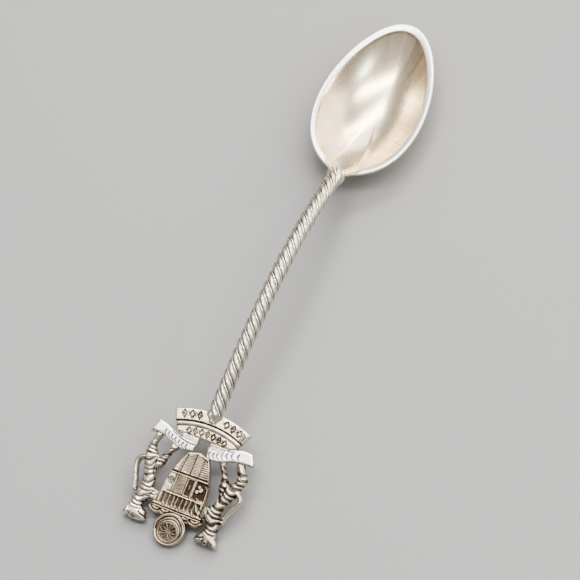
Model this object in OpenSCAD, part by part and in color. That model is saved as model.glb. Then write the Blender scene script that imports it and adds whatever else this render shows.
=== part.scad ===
// Souvenir spoon: an egg-shaped bowl, a rope stem laid up from round wires
// and a flat pierced finial. It lies face up along Y with its bowl at +Y, on
// the bottom of the bowl and the far edge of the finial, with its stem arched.
// Origin: under the middle of the spoon, on the surface that it lies on.

/* [Bowl] */
// Length of the bowl over its rim, from heel to tip
bowl_l = 37; // [30:0.5:46]
// Width of the bowl over its rim
bowl_w = 22.8; // [18:0.2:28]
// Height of the rim above the underside
bowl_h = 7; // [6.2:0.1:9]
// Width of the flat band along the rim
rim_w = 1.1; // [0.8:0.05:1.4]
// Thickness of the metal at the bottom of the bowl
bowl_floor = 0.9; // [0.6:0.05:1.2]
// How much the tip half is narrower than the heel half
bowl_egg = 0.15; // [0.05:0.01:0.22]

/* [Stem] */
// Length of the rope from the finial to the neck, measured along Y
stem_l = 57; // [42:0.5:72]
// Diameter over the laid-up wires
stem_d = 3.3; // [2.6:0.1:4]
// Length of one full turn of the rope
stem_lead = 8.6; // [6.5:0.1:10]
// Diameter of the fine wires that lie in the grooves
fine_d = 0.48; // [0.36:0.02:0.58]
// Height of the rope's middle line where it meets the neck
neck_z = 8; // [7:0.1:10]
// Slope of the rope where it meets the neck, in degrees downwards
neck_fall = 24; // [10:1:30]
// Length of the neck between the rope and the rim of the bowl
neck_l = 2; // [1.4:0.1:3]

/* [Finial] */
// Slope of the finial, whose far end rests on the surface, in degrees
finial_tilt = 15; // [8:1:20]
// Thickness of the plaque and the ribbons
plaque_t = 1.5; // [1.2:0.1:2]
// Thickness of the shield, the ledge and the roundel
shield_t = 1.6; // [1.2:0.1:2.2]
// Thickness of the two animals
tiger_t = 1.7; // [1.2:0.1:2.2]
// Width of the plaque along its outer edge
plaque_w = 16.4; // [14:0.2:20]
// Radius of the outer edge of the plaque
plaque_r = 21; // [18:0.5:28]
// Height of the outer tier of the plaque
base_h = 2.6; // [2:0.1:3.4]
// Height of the inner tier of the plaque
upper_h = 3.2; // [2.6:0.1:4]
// Gap between the plaque and the point of the shield
point_gap = 2.5; // [2:0.1:3.2]
// Height of the shield with its top bar
shield_h = 12.9; // [10:0.1:16]
// Width of the shield below its top bar
shield_w = 9.3; // [7.5:0.1:11.5]
// Reach of the top bar past each side of the shield
bar_reach = 0.7; // [0.5:0.1:1.2]
// Height of the top bar
bar_h = 0.9; // [0.6:0.1:1.4]
// Height of the blunt point of the shield
point_h = 0.7; // [0.4:0.1:1.2]
// Diameter of the roundel
roundel_d = 6.6; // [5.4:0.1:8]
// Diameter of the disc in the roundel
disc_d = 4.8; // [4:0.1:5.2]
// Height of the animals' heads above the shield
head_rise = 3.9; // [3:0.1:5]
// Width of the animals' tails
tail_w = 1; // [0.6:0.1:1.1]

/* [Hidden] */
// Depth of the flat on the plaque's curved edge, against which the rope ends
land_depth = plaque_r - sqrt(plaque_r * plaque_r - stem_d * stem_d / 4);
// Stack of the finial along the spoon, from the rope outwards
plaque_h = base_h + upper_h;
point_v = plaque_h + point_gap;
shield_top = point_v + shield_h;
finial_l = shield_top + roundel_d - land_depth;

// Places along the spoon: the far edge of the roundel, the end of the
// finial's back where the rope starts, and the rope's own ends
edge_lean = shield_t * sin(finial_tilt);
finial_run = finial_l * cos(finial_tilt);
rope_lean = stem_d / 2 * sin(finial_tilt);
total_l = edge_lean + finial_run - rope_lean + stem_l + neck_l + bowl_l;
plate_y = edge_lean + finial_run - total_l / 2;
plate_z = finial_l * sin(finial_tilt);
rope_y = plate_y - rope_lean;
rope_z = plate_z + stem_d / 2 * cos(finial_tilt);
neck_y = rope_y + stem_l;
heel_y = neck_y + neck_l;
bowl_y = heel_y + bowl_l / 2;

// Rope: four thick wires that touch, and four fine ones in the grooves
WIRES = 4;
wire_turn = 360 / WIRES;
lay_angle = atan(PI * 0.61 * stem_d / stem_lead);
lay_stretch = 1 / cos(lay_angle);
thick_d = stem_d / (1 + sqrt(1 + lay_stretch * lay_stretch));
thick_r = (stem_d - thick_d) / 2;

// How far down the fine wires seat in the thick ones: 1 is on their surface
FINE_SEAT = 0.8897;

// Where a place in the rope's section lies in the next thick wire's section:
// 0 in its middle, 1 on its surface
function in_thick(out, side) = norm([
    (out * cos(wire_turn / 2) + side * sin(wire_turn / 2) - thick_r) / (thick_d / 2),
    (side * cos(wire_turn / 2) - out * sin(wire_turn / 2)) / (thick_d / 2 * lay_stretch)
]);

// The same for the nearest place of a fine wire at the distance r
function fine_gap(r) = min([for (b = [90 : 5 : 270])
    in_thick(r + fine_d / 2 * cos(b), fine_d / 2 * sin(b) * lay_stretch)]);

// Distance of the fine wires from the rope's axis, found by halving a range
function seat_r(low, high, halvings = 20) =
    let (mid = (low + high) / 2)
    halvings == 0 ? mid
    : fine_gap(mid) < FINE_SEAT ? seat_r(mid, high, halvings - 1)
    : seat_r(low, mid, halvings - 1);

fine_r = seat_r(thick_r, stem_d);
RINGS_PER_TURN = 13;
rope_rings = ceil(RINGS_PER_TURN * stem_l / stem_lead);

// Bowl: the power of the curve from the bottom up to the rim
BOWL_POWER = 2.3;
BOWL_RINGS = 10;
BOWL_SIDES = 56;
OVER = 1;

// Finial
FLANK_TAPER = 0.505;
curve_steps = 4;
tier_angle = asin(plaque_w / 2 / plaque_r);
upper_angle = tier_angle * 0.97;
tiger_scale = (shield_h + head_rise) / 16.8;
SILVER = [0.8, 0.78, 0.75];
BRIGHT = [0.9, 0.9, 0.89];
TARNISH = [0.66, 0.62, 0.57];

// ---- curves ----

// Point at t between b and c on a smooth curve through a, b, c and d
function between(a, b, c, d, t) =
    0.5 * (2 * b + (c - a) * t + (2 * a - 5 * b + 4 * c - d) * t * t
        + (3 * b - 3 * c + d - a) * t * t * t);

// Smooth closed outline through the points
function closed_curve(p) = [
    for (i = [0 : len(p) - 1])
        for (j = [0 : curve_steps - 1])
            between(
                p[(i + len(p) - 1) % len(p)],
                p[i],
                p[(i + 1) % len(p)],
                p[(i + 2) % len(p)],
                j / curve_steps
            )
];

// Smooth open line through the points
function open_curve(p) = [
    for (i = [0 : len(p) - 2])
        for (j = [0 : curve_steps - (i < len(p) - 2 ? 1 : 0)])
            between(
                p[max(i - 1, 0)],
                p[i],
                p[i + 1],
                p[min(i + 2, len(p) - 1)],
                j / curve_steps
            )
];

function unit(v) = v / norm(v);

// Direction across the line at its point i
function across(line, i) =
    let (d = unit(line[min(i + 1, len(line) - 1)] - line[max(i - 1, 0)]))
    [-d[1], d[0]];

// Outline of a strip of one width along a line
function strip(line, w) = concat(
    [for (i = [0 : len(line) - 1]) line[i] + across(line, i) * w / 2],
    [for (i = [len(line) - 1 : -1 : 0]) line[i] - across(line, i) * w / 2]
);

// ---- bowl ----

// Point of the rim's outline, at the angle t from the tip
function egg(l, w, t) = [
    w / 2 * sin(t) * (1 - bowl_egg * cos(t)),
    l / 2 * cos(t)
];

// Closed body under an egg-shaped outline, from its top down to its bottom
function dish_points(l, w, bottom, rim, top) = concat(
    [[0, 0, bottom]],
    [for (k = [1 : BOWL_RINGS])
        for (s = [0 : BOWL_SIDES - 1])
            let (
                share = k / BOWL_RINGS,
                p = egg(l, w, 360 * s / BOWL_SIDES) * share
            )
            [p[0], p[1], bottom + (rim - bottom) * pow(share, BOWL_POWER)]],
    [for (s = [0 : BOWL_SIDES - 1])
        let (p = egg(l, w, 360 * s / BOWL_SIDES))
        [p[0], p[1], top]],
    [[0, 0, top]]
);

function ring_point(k, s) = 1 + (k - 1) * BOWL_SIDES + s % BOWL_SIDES;

function dish_faces() = concat(
    [for (s = [0 : BOWL_SIDES - 1]) [0, ring_point(1, s + 1), ring_point(1, s)]],
    [for (k = [1 : BOWL_RINGS])
        for (s = [0 : BOWL_SIDES - 1])
            each [
                [ring_point(k, s), ring_point(k, s + 1), ring_point(k + 1, s + 1)],
                [ring_point(k, s), ring_point(k + 1, s + 1), ring_point(k + 1, s)]
            ]],
    [for (s = [0 : BOWL_SIDES - 1])
        [
            ring_point(BOWL_RINGS + 1, s),
            ring_point(BOWL_RINGS + 1, s + 1),
            1 + (BOWL_RINGS + 1) * BOWL_SIDES
        ]]
);

module dish(l, w, bottom, rim, top) {
    polyhedron(dish_points(l, w, bottom, rim, top), dish_faces());
}

// Short neck from the end of the rope to a drop on the wall of the heel
module neck() {
    drop_in = rim_w * 1.2;
    wall_slope = atan(2 * BOWL_POWER * bowl_h / bowl_l);
    hull() {
        translate([0, neck_y, neck_z])
            rotate([-90 - neck_fall, 0, 0])
                cylinder(d = stem_d, h = 0.4, $fn = 32);
        translate([0, heel_y + drop_in, bowl_h - drop_in * tan(wall_slope)])
            rotate([-wall_slope, 0, 0])
                scale([stem_d * 0.65, stem_d * 0.8, stem_d * 0.25])
                    sphere(r = 1, $fn = 32);
    }
}

module bowl() {
    color(BRIGHT)
        difference() {
            union() {
                translate([0, bowl_y, 0])
                    dish(bowl_l, bowl_w, 0, bowl_h - rim_w / 2, bowl_h);
                neck();
            }
            translate([0, bowl_y, 0])
                dish(
                    bowl_l - 2 * rim_w,
                    bowl_w - 2 * rim_w,
                    bowl_floor,
                    bowl_h - rim_w / 4,
                    bowl_h + OVER
                );
        }
}

// ---- stem ----

// Height of the rope's middle line at the share t of its length
function stem_height(t) =
    (2 * t * t * t - 3 * t * t + 1) * rope_z
    + (t * t * t - 2 * t * t + t) * stem_l * tan(finial_tilt)
    + (3 * t * t - 2 * t * t * t) * neck_z
    - (t * t * t - t * t) * stem_l * tan(neck_fall);

function stem_slope(t) = atan(
    ((6 * t * t - 6 * t) * rope_z
    + (3 * t * t - 4 * t + 1) * stem_l * tan(finial_tilt)
    + (6 * t - 6 * t * t) * neck_z
    - (3 * t * t - 2 * t) * stem_l * tan(neck_fall)) / stem_l
);

// Point of a laid-up wire: share t of the rope, place a around the rope's
// axis, distance r from it, and place b around the wire itself
function wire_point(t, a, r, d, b) =
    let (
        turn = a + 360 * t * stem_l / stem_lead,
        out = r + d / 2 * cos(b),
        side = d / 2 * sin(b) * lay_stretch,
        x = out * cos(turn) - side * sin(turn),
        up = out * sin(turn) + side * cos(turn)
    )
    [
        x,
        rope_y + t * stem_l - up * sin(stem_slope(t)),
        stem_height(t) + up * cos(stem_slope(t))
    ];

module wire(a, r, d, sides) {
    last = rope_rings * sides;
    polyhedron(
        [for (k = [0 : rope_rings])
            for (s = [0 : sides - 1])
                wire_point(k / rope_rings, a, r, d, 360 * s / sides)],
        concat(
            [[for (s = [0 : sides - 1]) s]],
            [for (k = [0 : rope_rings - 1])
                for (s = [0 : sides - 1])
                    let (u = (s + 1) % sides, here = k * sides, next = here + sides)
                    each [
                        [here + s, next + s, next + u],
                        [here + s, next + u, here + u]
                    ]],
            [[for (s = [sides - 1 : -1 : 0]) last + s]]
        )
    );
}

module thick_wire(i) {
    color(SILVER)
        wire(i * wire_turn, thick_r, thick_d, 8);
}

module fine_wire(i) {
    color(BRIGHT)
        wire((i + 0.5) * wire_turn, fine_r, fine_d, 6);
}

// ---- finial ----

// Places a solid, made with the roundel upwards, in the spoon
module in_spoon() {
    translate([0, plate_y, plate_z])
        rotate([finial_tilt, 0, 0])
            translate([0, land_depth, 0])
                rotate([0, 0, 180])
                    children();
}

// Plate of the finial, from its shape drawn with the roundel upwards
module plate(thick) {
    in_spoon()
        linear_extrude(thick)
            children();
}

// Flat tier of the plaque between two distances from its outer edge
module tier(from, to, half_angle) {
    intersection() {
        difference() {
            translate([0, plaque_r])
                circle(r = plaque_r - from, $fn = 180);
            translate([0, plaque_r])
                circle(r = plaque_r - to, $fn = 180);
        }
        translate([0, plaque_r])
            polygon([
                [0, 0],
                [-2 * plaque_r * sin(half_angle), -2 * plaque_r * cos(half_angle)],
                [2 * plaque_r * sin(half_angle), -2 * plaque_r * cos(half_angle)]
            ]);
    }
}

module base_shape() {
    difference() {
        tier(0, base_h, tier_angle);
        translate([-stem_d, land_depth - OVER])
            square([2 * stem_d, OVER]);
    }
}

// Inner tier: its inner edge is straight, and the ribbons lie over its corners
module upper_shape() {
    difference() {
        intersection() {
            tier(base_h, plaque_h * 2, upper_angle);
            translate([-plaque_w, 0])
                square([2 * plaque_w, plaque_h]);
        }
        mirror([1, 0])
            ribbon_shape(LEFT_RIBBON);
        ribbon_shape(RIGHT_RIBBON);
    }
}

// Half width of the shield at the share s of the way down its flanks
function flank(s) = shield_w / 2 * (1 - FLANK_TAPER * pow(s, 1.8));

module shield_shape() {
    flank_top = shield_top - shield_h * 0.29;
    drop = flank_top - point_v - point_h;
    steps = 8;
    bar_w = shield_w / 2 + bar_reach;
    polygon(concat(
        [[-bar_w, shield_top], [-bar_w, shield_top - bar_h], [-shield_w / 2, shield_top - bar_h]],
        [for (i = [0 : steps]) [-flank(i / steps), flank_top - drop * i / steps]],
        [[0, point_v]],
        [for (i = [steps : -1 : 0]) [flank(i / steps), flank_top - drop * i / steps]],
        [[shield_w / 2, shield_top - bar_h], [bar_w, shield_top - bar_h], [bar_w, shield_top]]
    ));
}

module roundel_shape() {
    translate([0, shield_top + roundel_d / 2])
        circle(d = roundel_d, $fn = 96);
}

module disc_shape() {
    translate([0, shield_top + roundel_d - disc_d / 2 - 0.4])
        circle(d = disc_d, $fn = 96);
}

// Scalloped ledge on one side of the roundel
module ledge_shape() {
    reach = shield_w / 2 + bar_reach;
    hump = reach * 0.34;
    difference() {
        for (place = [0.42, 0.78])
            translate([reach * place, shield_top - hump * 0.3])
                circle(r = hump, $fn = 48);
        translate([-reach, shield_top - 2 * hump])
            square([3 * reach, 2 * hump]);
        roundel_shape();
    }
}

// Edges of the ribbons, each from the curled outer end to the end by the
// point of the shield: [out from the shield's side, up from its point]
LEFT_RIBBON = [
    [[6.6, -0.9], [4.7, -1], [2.4, -0.7], [0.7, 0], [-1.3, 0.6], [-3.2, 0.6]],
    [[5.3, -3.4], [3.3, -3.4], [1.6, -2.9], [0.1, -2.3], [-1.6, -1.8], [-3.6, -1.7]]
];
RIGHT_RIBBON = [
    [[6.5, -0.5], [4.8, -1], [3, -0.6], [1.2, 0.1], [-0.8, 0.6], [-3.1, 0.3]],
    [[5.5, -3.4], [3.6, -3], [1.8, -2.2], [-0.2, -1.5], [-1.6, -1.4], [-3.3, -1.5]]
];

// A point given from the side and the point of the shield, in the finial
function from_shield(p, lift = 0, stretch = 1) =
    [shield_w / 2 + p[0], point_v + lift + p[1] * stretch];

function ribbon_edge(edge) = open_curve([for (p = edge) from_shield(p)]);

function backwards(line) = [for (i = [len(line) - 1 : -1 : 0]) line[i]];

module ribbon_shape(edges) {
    // part that is folded back down to the plaque
    fold_w = 3.6;
    difference() {
        union() {
            polygon(concat(ribbon_edge(edges[0]), backwards(ribbon_edge(edges[1]))));
            translate([shield_w / 2 - 3.4, plaque_h])
                square([fold_w, point_gap - 1]);
        }
        shield_shape();
    }
}

// Outline of the left animal: [out from the shield's side, up from its feet]
LEFT_TIGER = [
    [5.5, 16.7], [4.6, 16.5], [3.7, 16.6], [3.2, 16.8], [2, 16.5], [0.9, 16.6], [0.6, 15.8],
    [1.1, 14.9], [1.7, 14], [2, 13.2], [1.5, 12.5], [0.3, 12.2], [-0.8, 11.6], [-0.8, 10.1],
    [0.3, 9.4], [1.4, 9], [2, 7.8], [2, 6.5], [1.4, 5.2], [1.3, 3.7], [0.9, 2.3], [-0.3, 0.7],
    [-0.2, -0.9], [1, -0.8], [1.3, 1.4], [2.3, 2.5], [2.9, 3.6], [3.5, 3.5], [4.1, 2.8],
    [4, 1.6], [3.2, 0.1], [3.2, -1.4], [4.2, -1.4], [5.5, 0.5], [6.3, 2.1], [5.8, 3.8],
    [5.9, 5], [5.1, 6.3], [4.1, 7.9], [3.8, 9.9], [4.2, 11.9], [4.4, 13.6], [4.7, 14.9], [5.4, 15.8]
];
LEFT_TAIL = [[5.4, 5], [6.3, 5.7], [6.5, 6.6], [5.7, 8.3], [4.9, 10], [4.5, 11.8]];

// Outline of the right animal
RIGHT_TIGER = [
    [5.5, 16.7], [4.8, 16.5], [3.8, 16.9], [2.5, 16.9], [1.4, 16.7], [0.6, 16.3], [1, 15.4],
    [1.2, 14.8], [2.3, 14], [2.4, 12.9], [1.4, 12.4], [-0.3, 12.2], [-0.7, 10.6], [0.5, 9.9],
    [1.6, 9.7], [2, 8], [2.5, 6.3], [1.6, 5.3], [1.2, 3.7], [0.8, 2.2], [-0.1, 0.7], [0, -0.9],
    [1.2, -0.6], [1.7, 2], [2.4, 3], [3, 3.5], [3.9, 2.5], [4.4, 1.4], [3.9, -0.2], [3.8, -1.8],
    [5.1, -1.8], [5.4, 0.4], [5.8, 2.1], [5.9, 4.1], [5.4, 5.6], [4.7, 7.1], [4.2, 9.1],
    [4.3, 11.1], [4.9, 13.1], [5.2, 14.9], [5.7, 16]
];
RIGHT_TAIL = [[5.6, 4.6], [6.5, 5.2], [6.7, 6.6], [6.2, 8.1], [5.6, 9.9], [5.1, 11.7]];

function placed(line) = [for (p = line) from_shield(p, -0.1, tiger_scale)];

// Animal with its tail, cut where the pieces that it touches lie
module tiger(body, tail, ribbon) {
    difference() {
        union() {
            linear_extrude(tiger_t)
                polygon(closed_curve(placed(body)));
            linear_extrude(tiger_t)
                polygon(strip(open_curve(placed(tail)), tail_w));
        }
        translate([0, 0, -OVER])
            linear_extrude(tiger_t + 2 * OVER) {
                shield_shape();
                ledge_shape();
                ribbon_shape(ribbon);
            }
    }
}

module base_plaque() {
    color(BRIGHT)
        plate(plaque_t)
            base_shape();
}

module upper_plaque() {
    color(BRIGHT)
        plate(plaque_t)
            upper_shape();
}

module ribbon_left() {
    color(BRIGHT)
        plate(plaque_t)
            mirror([1, 0])
                ribbon_shape(LEFT_RIBBON);
}

module ribbon_right() {
    color(BRIGHT)
        plate(plaque_t)
            ribbon_shape(RIGHT_RIBBON);
}

module shield() {
    color(SILVER)
        plate(shield_t)
            shield_shape();
}

module ledge_left() {
    color(SILVER)
        plate(shield_t)
            mirror([1, 0])
                ledge_shape();
}

module ledge_right() {
    color(SILVER)
        plate(shield_t)
            ledge_shape();
}

module tiger_left() {
    color(TARNISH)
        in_spoon()
            mirror([1, 0, 0])
                tiger(LEFT_TIGER, LEFT_TAIL, LEFT_RIBBON);
}

module tiger_right() {
    color(SILVER)
        in_spoon()
            tiger(RIGHT_TIGER, RIGHT_TAIL, RIGHT_RIBBON);
}

module roundel_ring() {
    color(BRIGHT)
        plate(shield_t)
            difference() {
                roundel_shape();
                disc_shape();
            }
}

module roundel_disc() {
    color(TARNISH)
        plate(shield_t)
            disc_shape();
}

bowl();
thick_wire(0);  // thick_wire_1
thick_wire(1);  // thick_wire_2
thick_wire(2);  // thick_wire_3
thick_wire(3);  // thick_wire_4
fine_wire(0);  // fine_wire_1
fine_wire(1);  // fine_wire_2
fine_wire(2);  // fine_wire_3
fine_wire(3);  // fine_wire_4
base_plaque();
upper_plaque();
ribbon_left();
ribbon_right();
shield();
ledge_left();
ledge_right();
tiger_left();
tiger_right();
roundel_ring();
roundel_disc();
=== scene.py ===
"""Looks of a souvenir spoon, built over its CAD frame: bowl, rope stem and pierced finial."""

import logging
import math
from dataclasses import dataclass
from enum import Enum

import bpy
import numpy as np
from mathutils import Matrix, Vector, kdtree


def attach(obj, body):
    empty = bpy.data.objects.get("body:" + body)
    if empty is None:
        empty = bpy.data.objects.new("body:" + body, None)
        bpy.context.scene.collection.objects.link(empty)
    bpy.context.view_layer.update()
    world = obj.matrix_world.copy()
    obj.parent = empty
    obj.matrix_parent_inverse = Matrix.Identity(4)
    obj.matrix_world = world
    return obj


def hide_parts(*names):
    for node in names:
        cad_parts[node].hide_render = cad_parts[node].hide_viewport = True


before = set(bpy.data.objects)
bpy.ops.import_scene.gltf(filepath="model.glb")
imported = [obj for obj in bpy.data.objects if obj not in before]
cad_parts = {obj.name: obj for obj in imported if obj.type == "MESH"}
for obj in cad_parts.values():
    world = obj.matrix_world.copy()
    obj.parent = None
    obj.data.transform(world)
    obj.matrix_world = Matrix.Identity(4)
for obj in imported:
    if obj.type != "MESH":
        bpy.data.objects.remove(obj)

log = logging.getLogger("spoon")
MM = 0.001
BODY = "root"
# tarnish: patches and specks a metre, the noise below which the metal is bare, the patches'
# contrast, and the least and added strength of the tarnish and painted shade where the specks are
PATCHES_PER_M = 420.0
SPECKS_PER_M = 2600.0
BARE_BELOW = 0.42
PATCH_CONTRAST = 4.0
SPECK_LEAST = 0.75
SPECK_ADDED = 0.7
# depth of the grain in metres
GRAIN_DEPTH = 0.0001
Point = tuple[float, float]
Path = tuple[Point, ...]


# ---- finishes ----


class Stain(Enum):
    """Colours that old silver takes in its recesses, and the near-black painted shade of the rope's
    grooves.
    """

    BROWN = (0.085, 0.058, 0.036)
    # painted shade of the rope's grooves, near black
    GREY_GROOVE_SHADE = (0.05, 0.045, 0.04)
    WARM = (0.42, 0.33, 0.25)


@dataclass(frozen=True)
class SilverFinish:
    """One finish of silver.

    Args:
        name: name of the material.
        colour: colour of the clean metal.
        roughness: roughness of the clean metal.
        stain_and_shade: colour of the tarnish in the recesses; on the rope, the colour of the painted shade
            in its grooves.
        stain_roughness: roughness where the tarnish and the painted shade lie.
        cloud: share of thin tarnish spread over the clean metal.
        grain: strength of the fine uneven surface.
        grain_size: size of its features in mm.
    """

    name: str
    colour: tuple[float, float, float]
    roughness: float
    stain_and_shade: Stain
    stain_roughness: float
    cloud: float
    grain: float
    grain_size: float

    def material(self) -> bpy.types.Material:
        """Builds the material.

        Returns:
            The material, with the piece's stain attribute as its tarnish and, on the rope, as painted shade
            in the grooves.
        """
        mat = bpy.data.materials.new(self.name)
        mat.use_nodes = True
        tree = mat.node_tree
        shader = tree.nodes["Principled BSDF"]
        shader.inputs["Metallic"].default_value = 1.0
        tarnish_and_shade = tree.nodes.new("ShaderNodeGroup")
        tarnish_and_shade.node_tree = tarnish_and_shade_group()
        tarnish_and_shade.inputs["Cloud"].default_value = self.cloud
        grain = tree.nodes.new("ShaderNodeGroup")
        grain.node_tree = grain_group()
        grain.inputs["Strength"].default_value = self.grain
        grain.inputs["Size"].default_value = self.grain_size
        colour = tree.nodes.new("ShaderNodeMix")
        colour.data_type = "RGBA"
        colour.inputs["A"].default_value = (*self.colour, 1)
        colour.inputs["B"].default_value = (*self.stain_and_shade.value, 1)
        rough = tree.nodes.new("ShaderNodeMix")
        rough.inputs["A"].default_value = self.roughness
        rough.inputs["B"].default_value = self.stain_roughness
        link = tree.links.new
        link(tarnish_and_shade.outputs["Mask"], colour.inputs["Factor"])
        link(tarnish_and_shade.outputs["Mask"], rough.inputs["Factor"])
        link(colour.outputs["Result"], shader.inputs["Base Color"])
        link(rough.outputs["Result"], shader.inputs["Roughness"])
        link(grain.outputs["Normal"], shader.inputs["Normal"])
        return mat


def new_group(name: str, inputs: dict[str, float], output: str, kind: str) -> bpy.types.NodeTree:
    """Starts a shader node group.

    Args:
        name: name of the group.
        inputs: names and default values of its number inputs.
        output: name of its one output.
        kind: socket type of the output.

    Returns:
        The group's node tree.
    """
    tree = bpy.data.node_groups.new(name, "ShaderNodeTree")
    for key, value in inputs.items():
        socket = tree.interface.new_socket(key, in_out="INPUT", socket_type="NodeSocketFloat")
        socket.default_value = value
    tree.interface.new_socket(output, in_out="OUTPUT", socket_type=kind)
    tree.nodes.new("NodeGroupInput")
    tree.nodes.new("NodeGroupOutput")
    return tree


def math_node(tree: bpy.types.NodeTree, kind: str, a: object, b: object) -> bpy.types.NodeSocket:
    """Adds a math node.

    Args:
        tree: node tree to add it to.
        kind: operation of the node.
        a: first value, a number or a socket.
        b: second value, a number or a socket.

    Returns:
        The node's output.
    """
    node = tree.nodes.new("ShaderNodeMath")
    node.operation = kind
    for slot, value in zip(node.inputs, (a, b)):
        if isinstance(value, bpy.types.NodeSocket):
            tree.links.new(value, slot)
        else:
            slot.default_value = value
    return node.outputs[0]


def noise_node(tree: bpy.types.NodeTree, scale: float, detail: float) -> bpy.types.Node:
    """Adds a noise texture on the piece's own coordinates.

    Args:
        tree: node tree to add it to.
        scale: scale of the noise, in features per metre.
        detail: detail of the noise.

    Returns:
        The noise node.
    """
    place = tree.nodes.new("ShaderNodeTexCoord")
    noise = tree.nodes.new("ShaderNodeTexNoise")
    noise.inputs["Scale"].default_value = scale
    noise.inputs["Detail"].default_value = detail
    tree.links.new(place.outputs["Object"], noise.inputs["Vector"])
    return noise


def tarnish_and_shade_group() -> bpy.types.NodeTree:
    """Makes, once, the mask of the tarnish and of the painted shade: the piece's stain attribute, uneven,
    and a thin cloud of tarnish.

    Returns:
        The shared group, with the input Cloud and the output Mask.
    """
    name = "silver_tarnish_and_shade"
    if name in bpy.data.node_groups:
        return bpy.data.node_groups[name]
    tree = new_group(name, {"Cloud": 0.1}, "Mask", "NodeSocketFloat")
    given, out = tree.nodes[0], tree.nodes[1]
    stain_and_shade = tree.nodes.new("ShaderNodeAttribute")
    stain_and_shade.attribute_name = "stain_and_shade"
    patches = noise_node(tree, PATCHES_PER_M, 4.0).outputs["Fac"]
    specks = noise_node(tree, SPECKS_PER_M, 3.0).outputs["Fac"]
    uneven = math_node(tree, "MULTIPLY_ADD", specks, SPECK_ADDED)
    uneven.node.inputs[2].default_value = SPECK_LEAST
    grown = math_node(tree, "MULTIPLY", stain_and_shade.outputs["Fac"], uneven)
    patch = math_node(tree, "SUBTRACT", patches, BARE_BELOW)
    patch = math_node(tree, "MAXIMUM", patch, 0.0)
    patch = math_node(tree, "MULTIPLY", patch, PATCH_CONTRAST)
    cloud = math_node(tree, "MULTIPLY", patch, given.outputs["Cloud"])
    total = math_node(tree, "ADD", grown, cloud)
    total.node.use_clamp = True
    tree.links.new(total, out.inputs["Mask"])
    return tree


def grain_group() -> bpy.types.NodeTree:
    """Makes, once, the normal of a fine uneven metal surface.

    Returns:
        The shared group, with the inputs Strength and Size and the output Normal.
    """
    name = "silver_grain"
    if name in bpy.data.node_groups:
        return bpy.data.node_groups[name]
    tree = new_group(name, {"Strength": 0.1, "Size": 0.5}, "Normal", "NodeSocketVector")
    given, out = tree.nodes[0], tree.nodes[1]
    noise = noise_node(tree, 1.0, 3.0)
    scale = math_node(tree, "DIVIDE", 1 / MM, given.outputs["Size"])
    tree.links.new(scale, noise.inputs["Scale"])
    bump = tree.nodes.new("ShaderNodeBump")
    bump.inputs["Distance"].default_value = GRAIN_DEPTH
    tree.links.new(noise.outputs["Fac"], bump.inputs["Height"])
    tree.links.new(given.outputs["Strength"], bump.inputs["Strength"])
    tree.links.new(bump.outputs["Normal"], out.inputs["Normal"])
    return tree


SATIN = SilverFinish(
    "satin_silver", (0.93, 0.81, 0.63), 0.27, Stain.WARM, 0.34, cloud=0.14, grain=0.03, grain_size=2.5)
# the rim's band: polished silver whose near-white colour is a painted highlight, standing for the bright
# reflection along the rim
POLISHED_HIGHLIGHT = SilverFinish(
    "polished_rim_highlight", (0.99, 0.98, 0.95), 0.42, Stain.WARM, 0.4, cloud=0.0, grain=0.04, grain_size=1.2)
ROPE = SilverFinish(
    "rope_silver", (0.78, 0.72, 0.63), 0.33, Stain.GREY_GROOVE_SHADE, 0.5, cloud=0.14, grain=0.12, grain_size=0.6)
FINE_WIRE = SilverFinish(
    "fine_wire_silver", (0.91, 0.87, 0.79), 0.28, Stain.GREY_GROOVE_SHADE, 0.45, cloud=0.05, grain=0.1, grain_size=0.4)
PLAQUE = SilverFinish(
    "plaque_silver", (0.84, 0.77, 0.64), 0.28, Stain.BROWN, 0.5, cloud=0.3, grain=0.12, grain_size=0.6)
RIBBON = SilverFinish(
    "ribbon_silver", (0.97, 0.95, 0.91), 0.29, Stain.BROWN, 0.5, cloud=0.06, grain=0.14, grain_size=0.6)
CAST = SilverFinish(
    "cast_silver", (0.70, 0.62, 0.50), 0.27, Stain.BROWN, 0.5, cloud=0.28, grain=0.35, grain_size=0.5)
ANIMAL = SilverFinish(
    "animal_silver", (0.86, 0.80, 0.70), 0.25, Stain.BROWN, 0.5, cloud=0.24, grain=0.35, grain_size=0.5)


# ---- helpers ----


def deselect() -> None:
    """Leaves edit mode and deselects every object."""
    if bpy.context.object and bpy.context.object.mode != "OBJECT":
        bpy.ops.object.mode_set(mode="OBJECT")
    bpy.ops.object.select_all(action="DESELECT")


def activate(piece: bpy.types.Object) -> None:
    """Selects one object only and makes it active.

    Args:
        piece: the object.
    """
    deselect()
    piece.select_set(True)
    bpy.context.view_layer.objects.active = piece


def coordinates(piece: bpy.types.Object) -> np.ndarray:
    """Reads a mesh's vertices.

    Args:
        piece: mesh object.

    Returns:
        Array of n rows with x, y and z.
    """
    flat = np.empty(len(piece.data.vertices) * 3)
    piece.data.vertices.foreach_get("co", flat)
    return flat.reshape(-1, 3)


def move_to(piece: bpy.types.Object, co: np.ndarray) -> None:
    """Writes a mesh's vertices.

    Args:
        piece: mesh object.
        co: array of n rows with x, y and z.
    """
    piece.data.vertices.foreach_set("co", co.ravel())
    piece.data.update()


def mark(piece: bpy.types.Object, name: str, values: np.ndarray) -> None:
    """Stores a number from 0 to 1 for each vertex.

    Args:
        piece: mesh object.
        name: name of the attribute; the finishes read the stain attribute as tarnish, and on the rope as
            painted shade in the grooves.
        values: one number a vertex.
    """
    layer = piece.data.attributes.new(name, "FLOAT", "POINT")
    layer.data.foreach_set("value", np.clip(values, 0, 1).astype(np.float32))


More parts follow.
